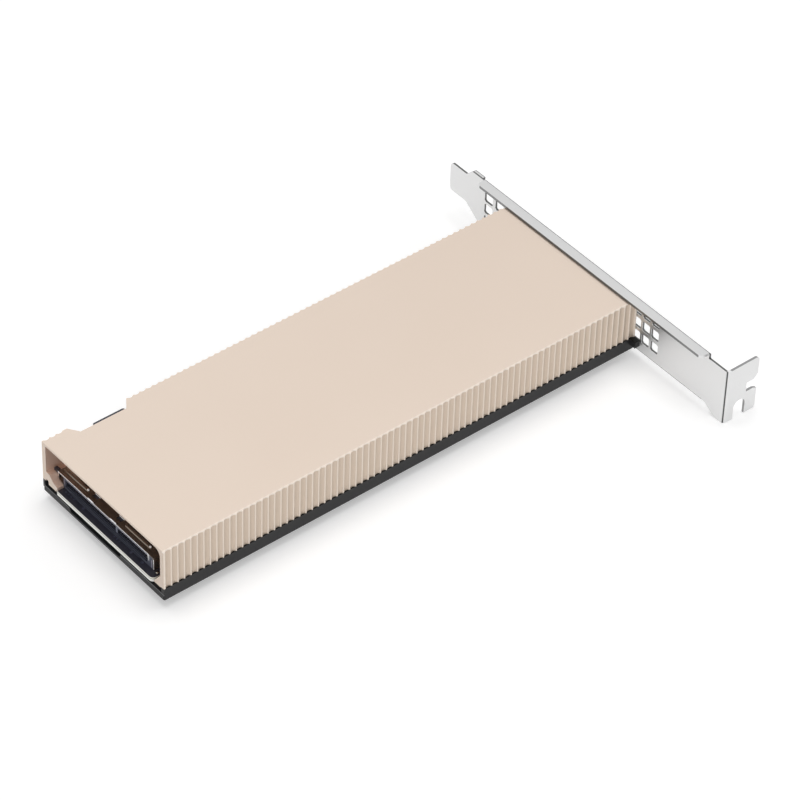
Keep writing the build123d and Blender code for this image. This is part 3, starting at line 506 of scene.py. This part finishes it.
def capsule_form(place, half_width, half_length, height):
    """A low pressed rib with round ends, along Y."""
    x, y, z = place
    form = bmesh.new()
    bmesh.ops.create_uvsphere(form, u_segments=20, v_segments=12, radius=1.0)
    middle = 1e-4
    for point in form.verts:
        way = 1 if point.co.y > middle else -1 if point.co.y < -middle else 0
        along = y + half_width * point.co.y + half_length * way
        point.co = Vector((x + half_width * point.co.x, along, z + height * point.co.z))
    return form


rib_x = shell_front - 0.0021
for number, rib_y in enumerate((near_side + 0.0099, near_side + 0.0379), start=1):
    rib_place = (rib_x, rib_y, shell_top)
    rib = capsule_form(rib_place, half_width=0.00075, half_length=0.0050, height=0.00036)
    settle(f"pressed_rib_{number}", rib, shell_finish, smooth=True)
    # A small near white cap at each rib's far end: a painted highlight dot.
    glint_place = (rib_x + 0.0001, rib_y + 0.0053, shell_top + 0.0002)
    end_glint = capsule_form(glint_place, half_width=0.00034, half_length=0.0001, height=0.00026)
    settle(f"rib_dimple_{number}", end_glint, shell_highlight_finish, smooth=True)

# Near white strips at the latch windows' far edges: painted highlights.
tongue_start = (shell_front - 0.00272, near_side + 0.01865, shell_top + 0.00006)
tongue = bar_unit((0.00028, 0.0023, 0.0002), rounding=0.00006)
tongue_rows = [(tongue_start, (0, 0.01085, 0), 2)]
settle_rows("latch_tongues", tongue, tongue_rows, shell_highlight_finish)

# Near white bars along the shell's front lip, its far drop and a side post: painted highlight lines.
edge_x, edge_thickness = shell_front + 0.00004, 0.00022
for name, width, height, edge_y, edge_z in (
    ("shell_front_lip", 0.0407, 0.00022, near_side + 0.02425, shell_top - 0.00011),
    ("shell_lip_drop", 0.00028, 0.0022, near_side + 0.0451, 0.0073),
    ("shell_side_post", 0.00026, 0.0036, near_side + 0.0472, 0.0061),
):
    edge = bar_unit((edge_thickness, width, height), rounding=0.00007)
    edge_rows = [((edge_x, edge_y, edge_z), (0, 0, 0), 1)]
    settle_rows(name, edge, edge_rows, shell_highlight_finish)

# A pale lavender finish for bars on the housing's cavity rim and ends: painted highlights.
housing_highlight_finish = grained_finish(
    "housing_edge_painted_highlight", metallic=0.0, tones=((0.30, 0.29, 0.37), (0.44, 0.43, 0.52)),
    scales=(1800.0, 250.0), drift_share=0.6, bump=0.000004, rough_span=(0.24, 0.4),
)
slit_x, slit_z, slit_step = shell_front - 0.0006, 0.00715, 0.0008
for name, size, rounding, rows, finish in (
    (
        "housing_cavity_rim", (0.0004, 0.0368, 0.00024), 0.00008,
        [((shell_front - 0.00022, near_side + 0.02575, 0.00748), (0, 0, 0), 1)],
        housing_highlight_finish,
    ),
    (
        "housing_end_rims", (0.0003, 0.00024, 0.0027), 0.00008,
        [
            ((shell_front - 0.00004, near_side + 0.0463, 0.00575), (0, 0, 0), 1),
            ((shell_front - 0.00014, near_side + 0.0070, 0.00620), (0, 0, 0), 1),
        ],
        housing_highlight_finish,
    ),
    (
        "housing_slit_ribs", (0.0005, 0.00014, 0.0009), 0.00003,
        [
            ((slit_x, -0.0195, slit_z), (0, slit_step, 0), 26),
            ((slit_x, 0.0037, slit_z), (0, slit_step, 0), 16),
        ],
        housing_finish,
    ),
):
    settle_rows(name, bar_unit(size, rounding), rows, finish)

comb_finish = grained_finish(
    "sprung_comb_steel", metallic=0.3, tones=((0.03, 0.03, 0.04), (0.10, 0.10, 0.12)),
    scales=(2400.0, 900.0), drift_share=0.6, bump=0.000006, rough_span=(0.22, 0.4),
)
comb_root, comb_tip = -0.0236, -0.0252
comb_low, comb_pitch = 0.00764, 0.00034
comb = bmesh.new()
for i in range(3):
    low = comb_low + i * comb_pitch
    wedge = [
        (comb_root, low), (comb_tip, low + 0.00010), (comb_tip, low + 0.00018),
        (comb_root, low + 0.00030),
    ]
    back = [comb.verts.new((shell_front - 0.0010, y, z)) for y, z in wedge]
    front = [comb.verts.new((shell_front + 0.0001, y, z)) for y, z in wedge]
    comb.faces.new(list(reversed(back)))
    comb.faces.new(front)
    for j in range(4):
        comb.faces.new((back[j], back[j - 3], front[j - 3], front[j]))
bmesh.ops.recalc_face_normals(comb, faces=comb.faces)
settle("near_end_comb", comb, comb_finish)

solder_finish = grained_finish(
    "solder_fillets", metallic=1.0, tones=((0.30, 0.28, 0.24), (0.46, 0.43, 0.37)),
    scales=(2400.0, 600.0), drift_share=0.5, bump=0.00001, rough_span=(0.16, 0.34),
)
solder_flatness = 0.55
solder = bmesh.new()
for x, y, radius in (
    (0.0813, 0.0211, 0.00050),
    (0.0813, -0.0229, 0.00045),
    (0.0755, -0.0240, 0.00055),
    (0.0755, 0.0206, 0.00055),
):
    drop = bmesh.ops.create_uvsphere(solder, u_segments=14, v_segments=8, radius=radius)
    for point in drop["verts"]:
        rise = solder_flatness * point.co.z
        point.co = Vector((point.co.x + x, point.co.y + y, board_top + rise))
settle("shell_solder_points", solder, solder_finish, smooth=True)
settle_rows(
    "strip_test_pads",
    ring_unit(hole=0.00026, rim=0.00046, height=0.00004, sides=16),
    [((0.08228, -0.0109, board_top), (0, 0.0216, 0), 2), ((0.0822, 0.0156, board_top), (0, 0, 0), 1)],
    via_finish,
)


# Network ports
# Two cages of thin tin plated steel through the bracket, each with a sprung
# gasket ring at the mouth and a black connector with gold blades at its end.
port_places = (-0.0107, 0.0107)
blade_x, first_blade, blade_step = -0.0500, -0.0064, 0.0008
cage_finish = grained_finish(
    "tin_plated_cage", metallic=1.0, tones=((0.58, 0.57, 0.54), (0.70, 0.69, 0.66)),
    scales=(2000.0, 70.0), drift_share=0.5, bump=0.000006, rough_span=(0.18, 0.34),
)
dress(cage_finish, "port_cage_1", "port_cage_2", "port_gasket_1", "port_gasket_2")
connector_finish = grained_finish(
    "black_connector_plastic", metallic=0.0, tones=((0.010, 0.010, 0.010), (0.020, 0.020, 0.021)),
    scales=(3600.0, 120.0), drift_share=0.5, bump=0.00001, rough_span=(0.42, 0.6),
)
dress(connector_finish, "port_connector_1", "port_connector_2")
blade_rows = []
for port_y in port_places:
    for blade_z in (0.00779, 0.00891):
        blade_rows.append(((blade_x, port_y + first_blade, blade_z), (0, blade_step, 0), 17))
blade = bar_unit((0.0060, 0.0003, 0.00018), rounding=0.00005)
settle_rows("port_blades", blade, blade_rows, gold_finish)


# Status lights
# Two clear strips bring the light of two small lamps on the board out through
# the bracket, over the gap between the ports.
guide_finish = grained_finish(
    "clear_guide_plastic", metallic=0.0, tones=((0.80, 0.83, 0.84), (0.88, 0.90, 0.91)),
    scales=(1500.0, 200.0), drift_share=0.5, bump=0.000003, rough_span=(0.08, 0.16),
)
set_plain(guide_finish, "Transmission Weight", 0.7)
dress(guide_finish, "light_guide_1", "light_guide_2")
lamp_finish = grained_finish(
    "status_lamp_resin", metallic=0.0, tones=((0.75, 0.70, 0.40), (0.85, 0.80, 0.55)),
    scales=(2500.0, 300.0), drift_share=0.5, bump=0.000003, rough_span=(0.2, 0.3),
)
dress(lamp_finish, "status_lights")


# Network processor and heat sink
# A laminate package with a nickel lid, a grey gap pad, and a skived aluminium
# sink that stands in the cover's air path on four screwed feet.
package_finish = grained_finish(
    "package_laminate", metallic=0.0, tones=((0.018, 0.075, 0.035), (0.030, 0.110, 0.055)),
    scales=(1200.0, 200.0), drift_share=0.5, bump=0.00001, rough_span=(0.34, 0.48),
)
dress(package_finish, "network_chip")
lid_finish = grained_finish(
    "nickel_lid", metallic=1.0, tones=((0.55, 0.55, 0.54), (0.66, 0.66, 0.65)),
    scales=(1600.0, 80.0), drift_share=0.5, bump=0.000006, rough_span=(0.24, 0.38),
)
dress(lid_finish, "chip_lid")
pad_finish = grained_finish(
    "gap_pad", metallic=0.0, tones=((0.30, 0.32, 0.35), (0.42, 0.44, 0.47)),
    scales=(2600.0, 200.0), drift_share=0.5, bump=0.00002, rough_span=(0.7, 0.9),
)
dress(pad_finish, "thermal_pad")
sink_finish = grained_finish(
    "plain_sink_aluminium", metallic=0.9, tones=((0.42, 0.42, 0.43), (0.54, 0.54, 0.55)),
    scales=(1400.0, 60.0), drift_share=0.5, bump=0.00001, rough_span=(0.32, 0.5),
)
dress(sink_finish, "heat_sink")


# Small components
# The power supply, memory and clock round the processor: moulded black chips,
# pressed powder inductors, can capacitors and fired ceramic blocks.
moulded_finish = grained_finish(
    "moulded_chip", metallic=0.0, tones=((0.012, 0.012, 0.013), (0.024, 0.024, 0.026)),
    scales=(3000.0, 200.0), drift_share=0.5, bump=0.00001, rough_span=(0.42, 0.58),
)
dress(moulded_finish, "power_stages", "flash_memory", "management_controller")
inductor_finish = grained_finish(
    "pressed_powder", metallic=0.0, tones=((0.10, 0.10, 0.105), (0.17, 0.17, 0.175)),
    scales=(2800.0, 200.0), drift_share=0.4, bump=0.00002, rough_span=(0.5, 0.7),
)
dress(inductor_finish, "power_inductors")
can_finish = grained_finish(
    "capacitor_can", metallic=1.0, tones=((0.60, 0.60, 0.60), (0.72, 0.72, 0.72)),
    scales=(1500.0, 100.0), drift_share=0.5, bump=0.000006, rough_span=(0.24, 0.38),
)
dress(can_finish, "polymer_capacitors", "clock_oscillator")
ceramic_finish = grained_finish(
    "fired_ceramic", metallic=0.0, tones=((0.26, 0.17, 0.10), (0.38, 0.26, 0.16)),
    scales=(2600.0, 300.0), drift_share=0.5, bump=0.00001, rough_span=(0.4, 0.55),
)
dress(ceramic_finish, "ceramic_capacitors")


# Cover
# The big shell of the card: machined from one piece of aluminium, fluted along
# both long sides, blasted to a fine matt face and dyed a warm sand colour.
cover_top = 0.01776
flute_depth, mouth_wall, mouth_roof = 0.0005, 0.0016, 0.0007
inner_start = mouth_wall - 0.0001
edge_highlight_colour = (0.93, 0.85, 0.77)
cover_finish = grained_finish(
    "blasted_sand_aluminium", metallic=0.45, tones=((0.668, 0.552, 0.462), (0.738, 0.634, 0.546)),
    scales=(5200.0, 18.0), drift_share=0.5, bump=0.00001, rough_span=(0.48, 0.56),
)
# Inside the mouth the cover is painted a redder brown: painted reflection of its own walls.
inner_height = band(cover_finish, "Z", board_top, cover_top - mouth_roof + 0.0001, 0.00002)
inner_width = band(cover_finish, "Y", near_side + inner_start, far_side - inner_start, 0.00002)
behind_front = band(cover_finish, "X", -0.1, tail_end - 0.00005, 0.00003)
inside = crossing(cover_finish, inner_height, inner_width)
tint(cover_finish, crossing(cover_finish, inside, behind_front), (0.78, 0.57, 0.46))
# The crests of the flutes on both long sides are painted lighter: painted highlights.
for low, high in ((far_side - 0.00009, 0.04), (-0.04, near_side + 0.00009)):
    tint(cover_finish, band(cover_finish, "Y", low, high, 0.00005), (0.91, 0.81, 0.71))
# The deep part of each flute is painted darker than its crest: painted shade.
hollow_height = band(cover_finish, "Z", board_bottom, cover_top - 0.0004, 0.00005)
hollow_low, hollow_high = flute_depth + 0.0001, 0.00018
for low, high in (
    (far_side - hollow_low, far_side - hollow_high),
    (near_side + hollow_high, near_side + hollow_low),
):
    hollow_span = band(cover_finish, "Y", low, high, 0.00006)
    hollows = crossing(cover_finish, hollow_height, hollow_span)
    tint(cover_finish, hollows, (0.700, 0.582, 0.476))
# Thin lighter lines along the flutes' top edge on the far side and along the foot on both sides:
# painted highlights.
top_edge = band(cover_finish, "Z", cover_top - 0.00036, cover_top - 0.00001, 0.00004)
foot_edge = band(cover_finish, "Z", 0.0, board_bottom + 0.00030, 0.00005)
outer_far = band(cover_finish, "Y", far_side - 0.0007, 0.04, 0.00002)
outer_near = band(cover_finish, "Y", -0.04, near_side + 0.0007, 0.00002)
for edge, face in ((top_edge, outer_far), (foot_edge, outer_far), (foot_edge, outer_near)):
    tint(cover_finish, crossing(cover_finish, edge, face), edge_highlight_colour)
dress(cover_finish, "cover")


# Bracket
# One strip of thin steel, stamped with its vents and port openings, folded at
# the lip and the screw flange, then bright nickel plated. Its cut edges, folds,
# lip and foot carry painted dark lines: painted dark reflection and painted
# shade, the cut edges partly their own raw steel.
sheet = 0.00086
plate_back = bracket_face - sheet
flange_face = 0.06478
lip_edge, lip_top = bracket_face + 0.0032, 0.0183
bracket_finish = grained_finish(
    "nickel_plated_steel", metallic=0.75, tones=((0.76, 0.76, 0.76), (0.82, 0.82, 0.82)),
    scales=(5200.0, 26.0), drift_share=0.7, bump=0.000003, rough_span=(0.26, 0.34),
)
for first, second, colour in (
    # the cut edges of plate, tab and vents: partly raw steel, partly painted dark reflection
    (
        ("X", plate_back + 0.00014, bracket_face - 0.00014, 0.00004),
        ("Y", -0.1, flange_face - 0.0009, 0.00002),
        (0.10, 0.10, 0.10),
    ),
    # the fold of the screw flange: a painted dark reflection line
    (
        ("X", bracket_face - 0.00050, bracket_face - 0.00022, 0.00004),
        ("Y", flange_face - 0.0009, 0.1, 0.00002),
        (0.08, 0.08, 0.08),
    ),
    # the lip's free edge: painted shade under the lip
    (("X", lip_edge - 0.00006, lip_edge + 0.001, 0.00002), None, (0.25, 0.25, 0.25)),
    # the lip's upper face: painted shade, darker than the plate
    (
        ("Z", lip_top - 0.00005, 0.1, 0.00002),
        ("X", plate_back + 0.0003, lip_edge - 0.00008, 0.00004),
        (0.64, 0.64, 0.64),
    ),
    # the lip's fold: a painted dark reflection line
    (
        ("X", -0.1, plate_back + 0.0010, 0.00006),
        ("Z", lip_top - 0.00066, lip_top - 0.00007, 0.00003),
        (0.13, 0.13, 0.13),
    ),
    # the cut edges of the screw flange: partly raw steel, partly painted dark reflection
    (
        ("Y", flange_face - 0.00081, flange_face - 0.00005, 0.00002),
        ("X", -0.1, plate_back - 0.0007, 0.00005),
        (0.30, 0.30, 0.30),
    ),
):
    mask = band(bracket_finish, *first)
    if second:
        mask = crossing(bracket_finish, mask, band(bracket_finish, *second))
    tint(bracket_finish, mask, colour)
# A dark line along the plate's foot: painted shade and painted dark reflection.
foot_height = band(bracket_finish, "Z", -0.0002, 0.00006, 0.00003)
foot_span = band(bracket_finish, "Y", -0.042, 0.0556, 0.0002)
foot_part = band(bracket_finish, "X", -0.1, bracket_face + 0.0003, 0.0001)
foot = crossing(bracket_finish, crossing(bracket_finish, foot_height, foot_span), foot_part)
tint(bracket_finish, foot, (0.16, 0.16, 0.16))
dress(bracket_finish, "bracket")


# Screws
# Countersunk screws from below hold plate, board and cover together, and the
# bracket's ears; four more pull the heat sink down from under the board.
screw_finish = grained_finish(
    "black_zinc_screw", metallic=0.9, tones=((0.10, 0.10, 0.105), (0.18, 0.18, 0.185)),
    scales=(2600.0, 300.0), drift_share=0.5, bump=0.000006, rough_span=(0.26, 0.42),
)
dress(screw_finish, "cover_screws", "ear_screws", "heat_sink_screws")
